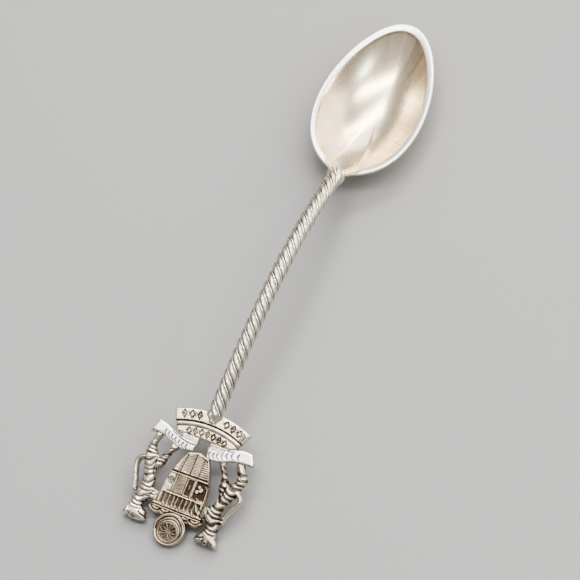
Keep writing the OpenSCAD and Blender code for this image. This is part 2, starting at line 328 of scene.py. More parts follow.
def smoothstep(low: float, high: float, x: np.ndarray) -> np.ndarray:
    """Smooth step from 0 at low to 1 at high.

    Args:
        low: value where the step starts.
        high: value where the step ends; it may be below low.
        x: values.

    Returns:
        The step of each value.
    """
    t = np.clip((x - low) / (high - low), 0, 1)
    return t * t * (3 - 2 * t)


def hand_over(piece: bpy.types.Object, nodes: tuple[str, ...]) -> None:
    """Gives a finished piece to the frame.

    Args:
        piece: the finished object.
        nodes: CAD nodes that it stands for.
    """
    activate(piece)
    bpy.ops.object.shade_smooth()
    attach(piece, BODY)
    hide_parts(*nodes)
    log.info("%s: %d faces", piece.name, len(piece.data.polygons))


# ---- bowl ----

OUTSIDE_RINGS = 26
INSIDE_RINGS = 36
# place across the band that marks the rings inside the bowl
INSIDE = 1.02
# half widths of the stretches at the heel over which the polish and its painted highlight end, and the band
# narrows
POLISH_ENDS = 0.12
BAND_NARROWS = 1.1
# widths of the lip and of its foot, the foot's share, and where on the half length they begin
LIP_WIDTH = 1.7
FOOT_WIDTH = 3.4
FOOT_SHARE = 0.28
LIP_FROM = 0.76
# tarnish of the rays at the tip, and the darkening of the hollow behind the lip
RAY_STAIN = 0.42
HEEL_DARKENING = 0.6


@dataclass
class Bowl:
    """Egg-shaped bowl with a polished rim, painted near white as a highlight, and a lip that the rope is
    soldered to; sizes in mm.

    Args:
        length: length over the rim.
        width: width over the rim.
        height: height of the rim.
        rim: width of the polished band at the sides.
        rim_tip: extra width of the band at the tip.
        rim_slope: how far the band falls inwards.
        lip_round: height of the rounding at the rim's outer edge.
        crease: depth of the step between the band and the inside.
        floor: thickness at the bottom.
        power: power of the curve from the bottom to the rim.
        egg: how much the tip half is narrower.
        centre: place of the bowl's middle along Y.
        lip: reach of the lip past the rim.
        lip_rise: height of the lip above the rim.
        gap: half width of the stretch at the heel that has no band.
        sides: number of faces around the bowl.
    """

    length: float = 37.0
    width: float = 22.8
    height: float = 7.0
    rim: float = 1.3
    rim_tip: float = 0.5
    rim_slope: float = 0.4
    lip_round: float = 0.55
    crease: float = 0.2
    floor: float = 0.9
    power: float = 2.3
    egg: float = 0.15
    centre: float = 42.889
    lip: float = 1.9
    lip_rise: float = 0.75
    gap: float = 4.0
    sides: int = 240

    def rings(self) -> list[tuple[float, float, float]]:
        """Lists the rings from the underside over the rim and down inside.

        Returns:
            Rings as (share of the outline, place across the band from 0 to 1, height in mm).
        """
        edge = self.height - self.lip_round
        outside = [(s, 0.0, edge * s**self.power) for s in np.linspace(0.04, 1, OUTSIDE_RINGS)]
        rounding = ((0.02, 0.28), (0.07, 0.12), (0.16, 0.03), (0.3, 0.0))
        band = [(1.0, t, self.height - drop) for t, drop in rounding]
        band += [(1.0, t, self.height - self.rim_slope * (t - 0.3)) for t in (0.5, 0.7, 0.9)]
        band += [(1.0, 1.0, self.height - self.rim_slope * 0.7 - self.crease * 0.4)]
        foot = band[-1][2] - self.crease * 0.6
        depth = foot - self.floor
        shares = np.linspace(1, 0.03, INSIDE_RINGS)
        inside = [(s, INSIDE, self.floor + depth * s**self.power) for s in shares]
        return outside + band + inside

    def build(self) -> bpy.types.Object:
        """Builds the bowl ring by ring, then gives it its egg shape and its lip.

        Returns:
            The bowl's mesh object, in metres.
        """
        deselect()
        wide = long = 1.0
        bpy.ops.mesh.primitive_circle_add(
            vertices=self.sides, radius=1, fill_type="TRIFAN", location=(0, 0, 0))
        piece = bpy.context.object
        piece.name = "bowl_silver_body"
        bpy.ops.object.mode_set(mode="EDIT")
        bpy.ops.mesh.select_all(action="SELECT")
        bpy.ops.mesh.region_to_loop()
        height = 0.0
        for share, across, z in self.rings():
            new_wide = (self.width / 2 - across * self.rim) * share
            new_long = (self.length / 2 - across * self.rim) * share
            bpy.ops.mesh.extrude_edges_move(TRANSFORM_OT_translate={"value": (0, 0, z - height)})
            grown = (new_wide / wide, new_long / long, 1)
            bpy.ops.transform.resize(value=grown, center_override=(0, 0, z))
            wide, long, height = new_wide, new_long, z
        bpy.ops.mesh.merge(type="CENTER")
        bpy.ops.object.mode_set(mode="OBJECT")
        self.shape(piece)
        activate(piece)
        bpy.ops.object.mode_set(mode="EDIT")
        bpy.ops.mesh.select_all(action="SELECT")
        bpy.ops.mesh.remove_doubles(threshold=0.000001)
        bpy.ops.mesh.normals_make_consistent(inside=False)
        bpy.ops.object.mode_set(mode="OBJECT")
        return piece

    def shape(self, piece: bpy.types.Object) -> None:
        """Gives the bowl its egg outline, its uneven band and its lip, and marks its parts.

        Args:
            piece: the round bowl.
        """
        co = coordinates(piece)
        table = np.array([(0.0, 0.0, 0.0), *self.rings()])
        ring = np.clip((np.arange(len(co)) - 1) // self.sides, 0, len(table) - 1)
        share, across, z = table[ring].T.copy()
        share[0] = share[co[:, 2] < 1e-6] = 0
        share[np.hypot(co[:, 0], co[:, 1]) < 0.02] = 0
        angle = np.arctan2(co[:, 0] / self.width, co[:, 1] / self.length)
        tip, right = np.cos(angle), np.sin(angle)
        egg = 1 - self.egg * tip
        # the tip's half counts as far from the heel
        from_heel = np.where(tip > 0, self.length, np.abs(self.width / 2 * right * egg))
        closed = smoothstep(self.gap - POLISH_ENDS, self.gap + POLISH_ENDS, from_heel)
        band = self.rim + self.rim_tip * smoothstep(-0.2, 1.0, tip) + 0.12 * right
        band *= 0.5 + 0.5 * smoothstep(self.gap - BAND_NARROWS, self.gap + BAND_NARROWS, from_heel)
        x = (self.width / 2 - across * band) * share * right * egg
        y = (self.length / 2 - across * band) * share * tip
        heel = self.heel(x, y)
        y -= self.lip * heel
        z = z + self.lip_rise * heel * (1 - 0.3 * smoothstep(6.4, 5.4, z))
        on_band = (ring > OUTSIDE_RINGS + 1) & (across < INSIDE)
        # the band where the polished rim's near-white painted highlight goes
        mark(piece, "rim", on_band * closed)
        rays = self.rays(angle, x) * smoothstep(0.3, 0.7, share) * (across > 1)
        # the heel's outer wall and the gap in the band under the lip are made darker
        low = smoothstep(0.93, 0.99, -tip) * smoothstep(5.0, 6.4, z) * (1 - closed)
        mark(piece, "stain_and_shade", RAY_STAIN * rays + HEEL_DARKENING * low * (across < 1))
        move_to(piece, np.stack([x, y + self.centre, z], 1) * MM)

    def heel(self, x: np.ndarray, y: np.ndarray) -> np.ndarray:
        """Finds how far each place belongs to the lip at the heel.

        Args:
            x: places to the right in mm.
            y: places towards the tip in mm.

        Returns:
            1 at the lip's middle, falling to 0 away from it.
        """
        spread = np.exp(-((x / LIP_WIDTH) ** 2)) + FOOT_SHARE * np.exp(-((x / FOOT_WIDTH) ** 2))
        near = smoothstep(-LIP_FROM * self.length / 2, -self.length / 2, y)
        return spread / (1 + FOOT_SHARE) * near

    def rays(self, angle: np.ndarray, x: np.ndarray) -> np.ndarray:
        """Finds the brown rays that run up into the tip.

        Args:
            angle: direction of each place from the bowl's middle, 0 at the tip.
            x: places to the right in mm.

        Returns:
            Strength of the rays, from 0 to 1.
        """
        wave = 0.5 + 0.3 * np.sin(angle * 23) + 0.2 * np.sin(angle * 41 + 1)
        return smoothstep(0.3, 0.85, np.cos(angle)) * wave * (0.5 + 0.5 * smoothstep(-1.0, 5.0, x))

    def dress(self, piece: bpy.types.Object) -> None:
        """Gives the band of the rim its polish, painted near white as a highlight, and the rest its satin
        finish.

        Args:
            piece: the bowl.
        """
        piece.data.materials.append(SATIN.material())
        piece.data.materials.append(POLISHED_HIGHLIGHT.material())
        rim = np.empty(len(piece.data.vertices), np.float32)
        piece.data.attributes["rim"].data.foreach_get("value", rim)
        for face in piece.data.polygons:
            if np.mean([rim[v] for v in face.vertices]) > 0.5:
                face.material_index = 1

    def finish(self) -> None:
        """Builds, dresses and hands over the bowl."""
        piece = self.build()
        self.dress(piece)
        hand_over(piece, ("bowl",))


# ---- stem ----

WIRE_RINGS = 345
# distances from the rope's axis at which the painted shade of a groove, with its tarnish, ends and is full
THICK_GROOVE_SHADE = (1.57, 1.38)
FINE_GROOVE_SHADE = (1.42, 1.26)


@dataclass
class RopeStem:
    """Rope of four thick wires with a fine wire in each groove, bent into an arch; sizes in mm.

    Args:
        start: place of its end at the finial, along Y and Z.
        length: length along Y.
        end_z: height of its end at the neck.
        rise: slope at the finial, in degrees.
        fall: slope at the neck, in degrees.
        lead: length of one turn.
        thick: diameter of the thick wires.
        thick_r: distance of the thick wires from the rope's axis.
        fine: diameter of the fine wires.
        fine_r: distance of the fine wires from the rope's axis.
        overrun: share of the length by which it runs on over the lip.
        root: share of the length by which it runs into the plaque.
        dip: depth to which that end sinks.
        spread: how much the wires part at the lip's end.
        closing: how much they close up inside the plaque.
        taper: share of the length over which they thin out on the lip.
        tip: their thickness at that end, of 1.
        thinning: how much they thin inside the plaque.
    """

    start: tuple[float, float] = (-34.611, 8.772)
    length: float = 57.0
    end_z: float = 8.0
    rise: float = 15.0
    fall: float = 24.0
    lead: float = 8.6
    thick: float = 1.36
    thick_r: float = 0.985
    fine: float = 0.42
    fine_r: float = 1.3
    overrun: float = 0.024
    root: float = 0.034
    dip: float = 1.0
    spread: float = 0.45
    closing: float = 0.6
    taper: float = 0.012
    tip: float = 0.35
    thinning: float = 0.5

    def shares(self) -> np.ndarray:
        """Lists the places of a wire's rings, as shares of the rope's length."""
        return np.linspace(-self.root, 1 + self.overrun, WIRE_RINGS)

    def axis(self, t: np.ndarray) -> tuple[np.ndarray, np.ndarray]:
        """Finds the rope's middle line.

        Args:
            t: shares of the length.

        Returns:
            Heights and slopes there, in mm and radians.
        """
        up, down = math.tan(math.radians(self.rise)), -math.tan(math.radians(self.fall))
        c = np.clip(t, 0, 1)
        h = (2 * c**3 - 3 * c**2 + 1) * self.start[1] + (c**3 - 2 * c**2 + c) * self.length * up
        h += (3 * c**2 - 2 * c**3) * self.end_z + (c**3 - c**2) * self.length * down
        h += (t - c) * self.length * down
        slope = (6 * c**2 - 6 * c) * (self.start[1] - self.end_z) / self.length
        slope += (3 * c**2 - 4 * c + 1) * up + (3 * c**2 - 2 * c) * down
        return h, np.arctan(slope)

    def path(self, turn0: float, radius: float) -> np.ndarray:
        """Finds the middle line of one wire.

        Args:
            turn0: its place around the rope's axis at the start, in degrees.
            radius: its distance from that axis.

        Returns:
            Points of the line, in mm.
        """
        t = self.shares()
        turn = np.radians(turn0 + 360 * t * self.length / self.lead)
        flare = radius * (1 + self.spread * smoothstep(0.975, 1 + self.overrun, t))
        flare *= 1 - self.closing * smoothstep(-0.002, -self.root, t)
        x, up = flare * np.cos(turn), flare * np.sin(turn)
        h, slope = self.axis(t)
        h -= self.dip * smoothstep(-0.002, -self.root, t)
        y = self.start[0] + t * self.length - up * np.sin(slope)
        return np.stack([x, y, h + up * np.cos(slope)], 1)

    def wire(self, name: str, turn0: float, radius: float, diameter: float) -> bpy.types.Object:
        """Builds one wire.

        Args:
            name: name of the piece.
            turn0: its place around the rope's axis, in degrees.
            radius: its distance from that axis.
            diameter: its own diameter.

        Returns:
            The wire's mesh object.
        """
        curve = bpy.data.curves.new(name, "CURVE")
        curve.dimensions = "3D"
        points = self.path(turn0, radius) * MM
        spline = curve.splines.new("POLY")
        spline.points.add(len(points) - 1)
        spline.points.foreach_set("co", np.hstack([points, np.ones((len(points), 1))]).ravel())
        t = self.shares()
        fade = np.clip((1 + self.overrun - t) / self.taper, self.tip, 1)
        fade = fade * (1 - self.thinning * smoothstep(-0.004, -self.root, t))
        spline.points.foreach_set("radius", fade)
        curve.bevel_depth = diameter / 2 * MM
        curve.bevel_resolution = 5
        curve.use_fill_caps = True
        piece = bpy.data.objects.new(name, curve)
        bpy.context.scene.collection.objects.link(piece)
        activate(piece)
        bpy.ops.object.convert(target="MESH")
        piece = bpy.context.object
        groove = FINE_GROOVE_SHADE if diameter == self.fine else THICK_GROOVE_SHADE
        # the grooves between the wires are darkened: painted shade, with some tarnish
        mark(piece, "stain_and_shade", self.groove(coordinates(piece) / MM, *groove))
        return piece

    def groove(self, co: np.ndarray, clean: float, dark: float) -> np.ndarray:
        """Finds how deep in the grooves each vertex lies, which sets how much painted shade it gets.

        Args:
            co: vertices in mm.
            clean: distance from the rope's axis at which the groove ends.
            dark: distance at which it is deep.

        Returns:
            1 deep in a groove, 0 on the outside.
        """
        t = (co[:, 1] - self.start[0]) / self.length
        for _ in range(3):
            h, slope = self.axis(t)
            off_y, off_z = co[:, 1] - self.start[0] - t * self.length, co[:, 2] - h
            t = t + (off_y * np.cos(slope) + off_z * np.sin(slope)) * np.cos(slope) / self.length
        h, slope = self.axis(t)
        off_y, off_z = co[:, 1] - self.start[0] - t * self.length, co[:, 2] - h
        out = np.hypot(co[:, 0], off_z * np.cos(slope) - off_y * np.sin(slope))
        outside = smoothstep(-0.012, 0.002, t) * smoothstep(1.012, 0.995, t)
        return smoothstep(clean, dark, out) * outside

    def finish(self) -> None:
        """Builds, dresses and hands over the eight wires."""
        thick, fine = ROPE.material(), FINE_WIRE.material()
        for i in range(4):
            piece = self.wire(f"rope_wire_{i + 1}", i * 90, self.thick_r, self.thick)
            piece.data.materials.append(thick)
            hand_over(piece, (f"thick_wire_{i + 1}",))
            piece = self.wire(f"rope_fine_wire_{i + 1}", (i + 0.5) * 90, self.fine_r, self.fine)
            piece.data.materials.append(fine)
            hand_over(piece, (f"fine_wire_{i + 1}",))


# ---- finial ----

# half widths of the soft edges of lines and of spots
LINE_SOFT = 0.09
SPOT_SOFT = 0.08
# least and greatest height of the ornament, as shares of a plate's thickness
LOWEST = 0.3
HIGHEST = 1.2
# darkening of the plates' side walls and backs, strongest towards the bottom
WALL_DARKENING = 0.35


class Relief:
    """Heights and tarnish worked into the top of a plate, at places (u, v) in mm."""

    def __init__(self, u: np.ndarray, v: np.ndarray, height: np.ndarray) -> None:
        """Starts from a plain plate.

        Args:
            u: places to the right, with the roundel up.
            v: places up from the rope.
            height: height of the plain top at each place.
        """
        self.u, self.v, self.height = u, v, height.copy()
        self.stain_and_shade = np.zeros_like(u)

    def distance(self, path: Path) -> np.ndarray:
        """Finds the distance to a line.

        Args:
            path: corners of the line.

        Returns:
            Distance of each place.
        """
        best = np.full_like(self.u, 1e9)
        for (a, b), (c, d) in zip(path, path[1:]):
            dx, dy = c - a, d - b
            t = np.clip(((self.u - a) * dx + (self.v - b) * dy) / max(dx * dx + dy * dy, 1e-9), 0, 1)
            best = np.minimum(best, np.hypot(self.u - a - t * dx, self.v - b - t * dy))
        return best

    def apply(self, mask: np.ndarray, rise: float, stain_and_shade: float) -> None:
        """Raises or sinks the top and adds or wipes tarnish.

        Args:
            mask: where, from 0 to 1.
            rise: height added.
            stain_and_shade: tarnish there; below 0 it wipes tarnish off.
        """
        self.height += rise * mask
        if stain_and_shade >= 0:
            self.stain_and_shade = np.maximum(self.stain_and_shade, stain_and_shade * mask)
        else:
            self.stain_and_shade *= 1 + stain_and_shade * mask

    def stroke(self, path: Path, width: float, rise: float, stain_and_shade: float = 0.0) -> None:
        """Works a line into the plate.

        Args:
            path: corners of the line.
            width: width of the line.
            rise: its height; below 0 it is engraved.
            stain_and_shade: tarnish in it; below 0 it is wiped clean.
        """
        half = 0.5 * width
        self.apply(smoothstep(half + LINE_SOFT, half - LINE_SOFT, self.distance(path)), rise, stain_and_shade)

    def bend(self, path: Path, steps: int = 6) -> Path:
        """Smooths a line.

        Args:
            path: points that it runs through.
            steps: parts that each span is cut into.

        Returns:
            The corners of the smooth line.
        """
        p = [path[0], *path, path[-1]]
        out = []
        for a, b, c, d in zip(p, p[1:], p[2:], p[3:]):
            for t in (k / steps for k in range(steps)):
                out.append(tuple(
                    0.5 * (2 * b[i] + (c[i] - a[i]) * t + (2 * a[i] - 5 * b[i] + 4 * c[i] - d[i]) * t * t
                           + (3 * b[i] - 3 * c[i] + d[i] - a[i]) * t**3) for i in (0, 1)))
        return (*out, path[-1])

    def curve(self, path: Path, width: float, rise: float, stain_and_shade: float = 0.0) -> None:
        """Works a smooth line into the plate.

        Args:
            path: points that it runs through.
            width: width of the line.
            rise: its height.
            stain_and_shade: tarnish in it.
        """
        self.stroke(self.bend(path), width, rise, stain_and_shade)

    def arc(
        self, centre: Point, radius: float, span: Point, width: float, rise: float, stain_and_shade: float = 0.0
    ) -> None:
        """Works a part of a circle into the plate.

        Args:
            centre: centre of the circle.
            radius: its radius.
            span: first and last angle in degrees, anticlockwise from +u.
            width: width of the line.
            rise: its height.
            stain_and_shade: tarnish in it.
        """
        turns = np.radians(np.linspace(*span, 25))
        path = tuple((centre[0] + radius * math.cos(a), centre[1] + radius * math.sin(a)) for a in turns)
        self.stroke(path, width, rise, stain_and_shade)

    def dot(self, centre: Point, radius: float, rise: float, stain_and_shade: float = 0.0) -> None:
        """Works a round spot into the plate.

        Args:
            centre: its centre.
            radius: its radius.
            rise: its height.
            stain_and_shade: tarnish in it.
        """
        far = np.hypot(self.u - centre[0], self.v - centre[1])
        self.apply(smoothstep(radius + SPOT_SOFT, radius - SPOT_SOFT, far), rise, stain_and_shade)

    def inside(self, corners: Path) -> np.ndarray:
        """Finds the places inside a convex shape.

        Args:
            corners: its corners, anticlockwise.

        Returns:
            Mask from 0 to 1.
        """
        near = np.full_like(self.u, 1e9)
        for (a, b), (c, d) in zip(corners, corners[1:] + corners[:1]):
            size = math.hypot(c - a, d - b)
            near = np.minimum(near, ((c - a) * (self.v - b) - (d - b) * (self.u - a)) / size)
        return smoothstep(-SPOT_SOFT, SPOT_SOFT, near)

    def panel(self, corners: Path, rise: float, stain_and_shade: float = 0.0) -> None:
        """Raises or sinks a convex panel.

        Args:
            corners: its corners, anticlockwise.
            rise: its height.
            stain_and_shade: tarnish in it.
        """
        self.apply(self.inside(corners), rise, stain_and_shade)

    def hatch(self, corners: Path, angle: float, pitch: float, depth: float, stain_and_shade: float) -> None:
        """Engraves fine parallel lines in a convex panel.

        Args:
            corners: corners of the panel, anticlockwise.
            angle: direction of the lines in degrees.
            pitch: distance between the lines.
            depth: depth of the lines.
            stain_and_shade: tarnish in the lines.
        """
        a = math.radians(angle)
        across = (self.v * math.cos(a) - self.u * math.sin(a)) / pitch
        wave = 0.5 - 0.5 * np.cos(2 * math.pi * across)
        self.apply(self.inside(corners) * wave**1.5, -depth, stain_and_shade)


@dataclass(frozen=True)
class FinialFrame:
    """Place of the finial in the spoon, in mm and degrees.

    Args:
        joint: place of its back's end at the rope, along Y and Z.
        tilt: its slope.
        flat: depth of the flat that the rope ends against.
    """

    joint: tuple[float, float] = (-34.1844, 7.1784)
    tilt: float = 15.0
    flat: float = 0.0649

    def matrix(self) -> Matrix:
        """Finds the way from the finial's own frame to the spoon's.

        Returns:
            Matrix from mm with the roundel up to metres in the spoon.
        """
        place = Matrix.Translation((0, *self.joint)) @ Matrix.Rotation(math.radians(self.tilt), 4, "X")
        place = place @ Matrix.Translation((0, self.flat, 0)) @ Matrix.Rotation(math.pi, 4, "Z")
        return Matrix.Scale(MM, 4) @ place


@dataclass
class Plate:
    """One cast plate of the finial; sizes in mm.

    Args:
        node: CAD node that it stands for.
        slot: name of a material slot; it is not used.
        finish: its silver.
        thick: its thickness.
        round_r: width of its rounded edge.
        round_drop: how far the top falls at the edge.
        detail: size of the mesh.
        base_stain: tarnish all over it.
    """

    node: str
    slot: str
    finish: SilverFinish
    thick: float = 1.5
    round_r: float = 0.35
    round_drop: float = 0.22
    detail: float = 0.07
    base_stain: float = 0.0

    def work(self, relief: Relief) -> None:
        """Works the ornament into the plate; a plain plate has none.

        Args:
            relief: heights and tarnish of the plate.
        """

    def blank(self) -> bpy.types.Object:
        """Takes the outline from the CAD node as a dense closed mesh in the finial's own frame.

        Returns:
            The mesh object, in mm.
        """
        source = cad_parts[self.node]
        piece = bpy.data.objects.new(self.node + "_cast", source.data.copy())
        piece.data.materials.clear()
        bpy.context.scene.collection.objects.link(piece)
        piece.data.transform(FinialFrame().matrix().inverted())
        activate(piece)
        bpy.ops.object.mode_set(mode="EDIT")
        bpy.ops.mesh.select_all(action="SELECT")
        bpy.ops.mesh.remove_doubles(threshold=0.001)
        bpy.ops.object.mode_set(mode="OBJECT")
        dense = piece.modifiers.new("dense", "REMESH")
        dense.mode = "VOXEL"
        dense.voxel_size = self.detail
        bpy.ops.object.modifier_apply(modifier="dense")
        bpy.ops.object.mode_set(mode="EDIT")
        bpy.ops.mesh.select_all(action="SELECT")
        bpy.ops.mesh.vertices_smooth(factor=0.5, repeat=2)
        bpy.ops.object.mode_set(mode="OBJECT")
        return piece

    def edge_distance(self, piece: bpy.types.Object, co: np.ndarray) -> np.ndarray:
        """Finds how far each vertex is from the plate's outline.

        Args:
            piece: the blank.
            co: its vertices.

        Returns:
            Distance of each vertex, in mm.
        """
        normal = np.empty(len(co) * 3)
        piece.data.vertices.foreach_get("normal", normal)
        normal = normal.reshape(-1, 3)
        half_way = np.abs(co[:, 2] - self.thick / 2) < self.thick * 0.3
        wall = np.where((np.abs(normal[:, 2]) < 0.5) & half_way)[0]
        tree = kdtree.KDTree(len(wall))
        for k in wall:
            tree.insert((co[k, 0], co[k, 1], 0), int(k))
        tree.balance()
        return np.array([tree.find((p[0], p[1], 0))[2] for p in co])

    def build(self) -> bpy.types.Object:
        """Builds the plate with its ornament, in the spoon.

        Returns:
            The finished mesh object.
        """
        piece = self.blank()
        co = coordinates(piece)
        near = self.edge_distance(piece, co)
        t = 1 - np.clip(near / self.round_r, 0, 1)
        top = self.thick - self.round_drop * (1 - np.sqrt(np.clip(1 - t * t, 0, 1)))
        relief = Relief(co[:, 0], co[:, 1], top)
        relief.stain_and_shade += self.base_stain
        self.work(relief)
        share = np.clip(co[:, 2] / self.thick, 0, 1)
        co[:, 2] = share * np.clip(relief.height, LOWEST * self.thick, HIGHEST * self.thick)
        move_to(piece, co)
        # the lower side walls and the back are made darker
        wall = smoothstep(0.75, 0.3, share)
        mark(piece, "stain_and_shade", np.maximum(relief.stain_and_shade, WALL_DARKENING * wall))
        piece.data.transform(FinialFrame().matrix())
        return piece

    def make(self) -> None:
        """Builds, dresses and hands over the plate."""
        piece = self.build()
        piece.data.materials.append(self.finish.material())
        hand_over(piece, (self.node,))


@dataclass
class Shield(Plate):
    """Shield with a fluted chief, three framed panels and a hatched point."""

    def work(self, relief: Relief) -> None:
        """Works the fields of the shield.

        Args:
            relief: heights and tarnish of the plate.
        """
        # top bar over a scalloped moulding
        relief.stroke(((-5.4, 20.78), (5.4, 20.78)), 0.2, -0.3, 0.95)
        relief.stroke(((-4.6, 21.08), (4.9, 21.08)), 0.16, 0.12)
        for k in range(-6, 8):
            relief.arc((k * 0.62, 20.5), 0.3, (200, 340), 0.12, -0.14, 0.6)
        # chief with flutes
        relief.panel(((-4.2, 17.95), (4.0, 17.95), (4.0, 20.15), (-4.2, 20.15)), -0.26, 0.8)
        for k, u in enumerate((-2.95, -2.1, -1.15, -0.3, 0.62, 1.5, 2.4, 3.2)):
            tilt = 0.1 * math.sin(k * 2.1)
            flute = ((u - 0.25, 20.2), (u + 0.05 + tilt, 19.75), (u + tilt, 18.9), (u, 18.0))
            relief.curve(flute, 0.3, 0.24, -0.85)
        scroll = ((-5.2, 20.0), (-4.3, 19.75), (-3.7, 19.2), (-3.3, 18.4), (-2.9, 17.75))
        relief.curve(scroll, 0.34, 0.26, -0.9)
        relief.curve(((-4.9, 19.2), (-4.3, 18.9), (-3.9, 18.3)), 0.3, -0.2, 0.8)
        # cord under the chief
        relief.stroke(((-2.9, 17.42), (3.4, 17.46)), 0.16, -0.2, 0.8)
        relief.stroke(((-2.9, 17.72), (3.6, 17.8)), 0.3, 0.22, -0.95)
        # left panel with two beads
        relief.panel(((-4.15, 13.75), (-1.85, 13.75), (-1.85, 17.3), (-4.35, 17.3)), -0.4, 0.9)
        relief.curve(((-4.1, 17.2), (-3.3, 17.2), (-2.7, 16.9)), 0.22, 0.3, -0.9)
        relief.dot((-3.15, 15.25), 0.5, 0.45, -1.0)
        relief.dot((-2.45, 15.75), 0.42, 0.4, -1.0)
        relief.dot((-2.6, 14.75), 0.36, 0.3, -0.8)
        relief.stroke(((-4.0, 14.6), (-3.6, 14.2)), 0.2, 0.2, -0.7)
        # middle panels
        relief.stroke(((-1.5, 13.7), (-1.5, 17.4)), 0.26, 0.16, -0.9)
        relief.panel(((-1.15, 14.0), (-0.15, 14.0), (-0.15, 17.2), (-1.15, 17.2)), -0.34, 0.92)
        relief.stroke(((-0.65, 15.1), (-0.65, 15.9)), 0.3, 0.2, -0.5)
        relief.stroke(((0.0, 13.8), (0.0, 17.4)), 0.2, 0.06, -0.5)
        relief.stroke(((0.28, 13.7), (0.28, 17.4)), 0.18, -0.2, 0.75)
        relief.hatch(((0.5, 13.8), (2.0, 13.8), (2.0, 17.3), (0.5, 17.3)), 20, 0.27, 0.12, 0.6)
        relief.stroke(((2.15, 13.7), (2.15, 17.4)), 0.16, -0.16, 0.6)
        relief.stroke(((2.42, 13.7), (2.42, 17.4)), 0.2, 0.08, -0.8)
        relief.stroke(((2.7, 13.9), (2.7, 17.3)), 0.14, -0.14, 0.55)
        # right panel with a boss
        relief.arc((3.42, 15.35), 0.58, (0, 360), 0.2, -0.14, 0.75)
        relief.dot((3.42, 15.35), 0.45, -0.12, 0.6)
        # moulding over the point
        relief.stroke(((-3.7, 13.15), (4.0, 13.35)), 0.22, -0.3, 0.9)
        relief.stroke(((-3.8, 13.55), (4.1, 13.72)), 0.2, 0.16, -0.8)
        # point: hatching between upright lines
        relief.hatch(((-2.2, 9.4), (-1.5, 9.0), (-1.5, 13.0), (-3.9, 13.0)), 4, 0.42, 0.16, 0.62)
        relief.hatch(((-1.3, 9.2), (0.0, 8.9), (0.0, 12.9), (-1.3, 12.9)), 10, 0.3, 0.08, 0.55)
        relief.hatch(((0.4, 8.9), (1.9, 9.6), (1.9, 12.9), (0.4, 12.9)), 12, 0.3, 0.12, 0.6)
        relief.stroke(((-1.55, 9.6), (-1.55, 13.0)), 0.16, -0.14, 0.6)
        relief.stroke(((0.22, 8.9), (0.2, 13.0)), 0.18, -0.2, 0.8)
        relief.stroke(((1.98, 9.5), (2.25, 13.0)), 0.2, -0.2, 0.75)
        relief.stroke(((2.3, 10.4), (2.7, 13.0)), 0.14, -0.12, 0.5)
        relief.stroke(((-2.2, 9.6), (-0.9, 9.15)), 0.18, -0.16, 0.7)


@dataclass
class Ledge(Plate):
    """Scalloped ledge on one side of the roundel.

    Args:
        side: 1 for the right, -1 for the left.
    """

    side: int = 1

    def work(self, relief: Relief) -> None:
        """Works two mouldings that follow the scallops.

        Args:
            relief: heights and tarnish of the plate.
        """
        mouldings = ((1.5, 0.1, -0.4), (1.22, -0.26, 0.85), (0.9, 0.12, -0.5), (0.55, -0.22, 0.8))
        for place in (2.25, 4.17):
            for radius, rise, stain_and_shade in mouldings:
                relief.arc((self.side * place, 20.66), radius, (5, 175), 0.2, rise, stain_and_shade)


@dataclass
class RoundelRing(Plate):
    """Ring of the roundel, with doubled lines at its sides."""

    def work(self, relief: Relief) -> None:
        """Works the lines of the ring.

        Args:
            relief: heights and tarnish of the plate.
        """
        relief.arc((0, 24.5), 2.98, (150, 390), 0.2, 0.06)
        relief.arc((0.05, 24.62), 2.62, (165, 375), 0.2, -0.24, 0.9)
        relief.arc((0.05, 24.35), 2.35, (205, 335), 0.16, -0.16, 0.8)
        relief.arc((0, 24.8), 3.15, (200, 250), 0.14, -0.18, 0.85)


@dataclass
class RoundelDisc(Plate):
    """Disc of the roundel, with a rosette."""

    def work(self, relief: Relief) -> None:
        """Works a border and the rays of a rosette.

        Args:
            relief: heights and tarnish of the plate.
        """
        centre = (0.0, 25.0)
        relief.dot(centre, 1.9, -0.34, 0.72)
        relief.arc(centre, 2.12, (0, 360), 0.3, 0.04, -0.3)
        relief.arc(centre, 1.72, (180, 360), 0.16, 0.2, -0.9)
        for k in range(11):
            a = math.radians(k * 360 / 11 + 8)
            near, far = 0.55, 1.45 + 0.12 * math.sin(k * 2.3)
            ray = tuple((centre[0] + r * math.cos(a), centre[1] + r * math.sin(a)) for r in (near, far))
            relief.stroke(ray, 0.2, 0.26, -0.7)
        relief.dot(centre, 0.45, 0.22, -0.2)


